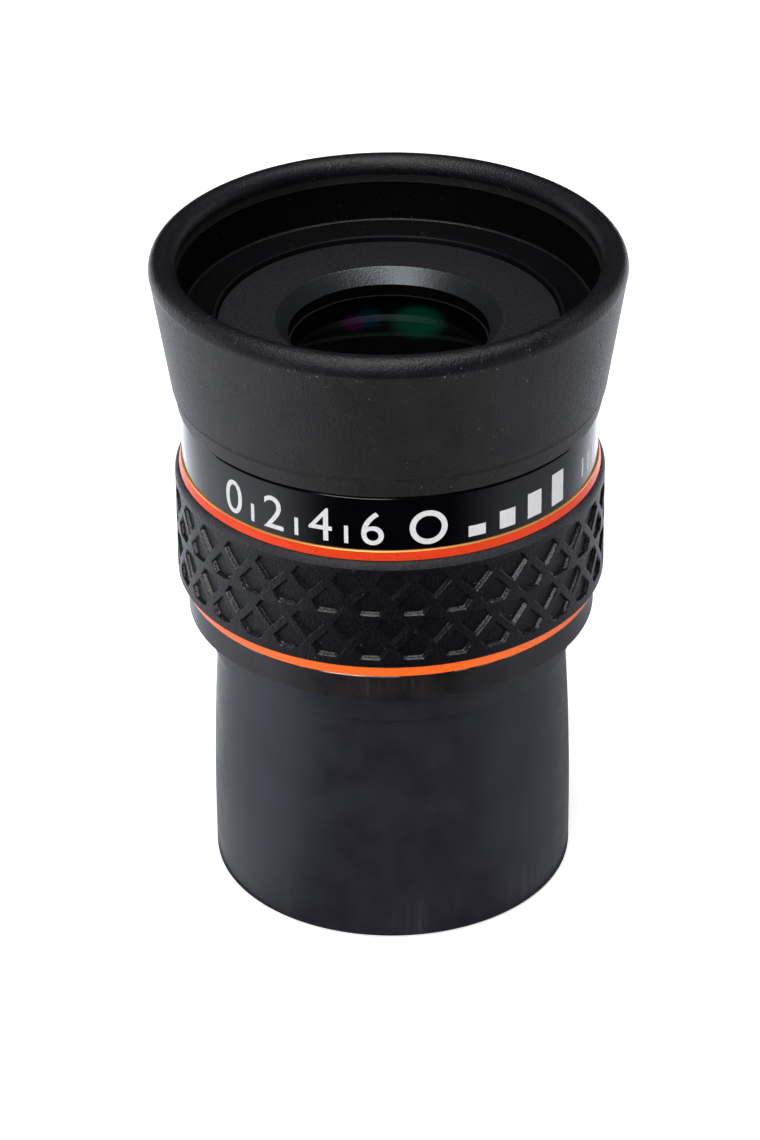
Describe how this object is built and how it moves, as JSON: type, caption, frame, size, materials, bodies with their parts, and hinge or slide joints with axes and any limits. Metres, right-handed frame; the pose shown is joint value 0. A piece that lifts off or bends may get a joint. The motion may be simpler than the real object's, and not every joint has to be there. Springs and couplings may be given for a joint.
{
  "type": "telescope eyepiece",
  "caption": "Short telescope eyepiece for a 1.25-inch focuser, with a ribbed rubber grip between orange trim rings and a flared rubber eyecup that twists up.",
  "frame": {"origin": "centre of the open lower end of the barrel, on the optical axis", "axes": "+Z is the optical axis, from the barrel up to the eyecup; +Y points away from the marks on the band"},
  "size_m": [0.0406, 0.0406, 0.0591],
  "materials": {
    "cup_rubber": "matte moulded rubber",
    "grip_rubber": "moulded rubber, low sheen",
    "seal_rubber": "plain rubber",
    "glide_plastic": "low-friction plastic",
    "screw_steel": "plain machined steel",
    "orange_anodised": "glossy orange anodised",
    "gloss_black_anodised": "glossy black anodised",
    "satin_black_anodised": "satin black anodised",
    "barrel_black_anodised": "turned, satin black anodised",
    "matte_black_aluminium": "matte blackened",
    "coated_glass": "polished, anti-reflection coated"
  },
  "bodies": {
    "root": {"main_body": "satin_black_anodised", "barrel": "barrel_black_anodised", "core_tube": "satin_black_anodised", "eye_cap": "satin_black_anodised", "eye_seal": "seal_rubber", "eye_lens": "coated_glass", "upper_spacer": "matte_black_aluminium", "middle_lens": "coated_glass", "lower_spacer": "matte_black_aluminium", "doublet_crown": "coated_glass", "doublet_flint": "coated_glass", "lens_lock_ring": "matte_black_aluminium", "band_ring": "gloss_black_anodised", "trim_ring_upper": "orange_anodised", "grip_sleeve": "grip_rubber", "trim_ring_lower": "orange_anodised", "grub_screws": "screw_steel", "field_stop": "matte_black_aluminium", "field_cell": "matte_black_aluminium", "field_lens_crown": "coated_glass", "field_lens_flint": "coated_glass", "field_lens_ring": "matte_black_aluminium"},
    "glide": {"glide_ring": "glide_plastic"},
    "eyecup": {"eyecup": "cup_rubber", "eyecup_carrier": "satin_black_anodised", "guide_screws": "screw_steel"}
  },
  "joints": [
    {"name": "eyecup_lift", "type": "slide", "parent": "root", "child": "glide", "axis": [0, 0, 1], "range_m": [0, 0.007]},
    {"name": "eyecup_twist", "type": "hinge", "parent": "glide", "child": "eyecup", "pos_m": [0, 0, 0.03695], "axis": [0, 0, 1], "range_deg": [0, 100]}
  ],
  "couplings": [
    {"joint": "eyecup_lift", "follows": "eyecup_twist", "m_per_rad": 0.0040107}
  ]
}
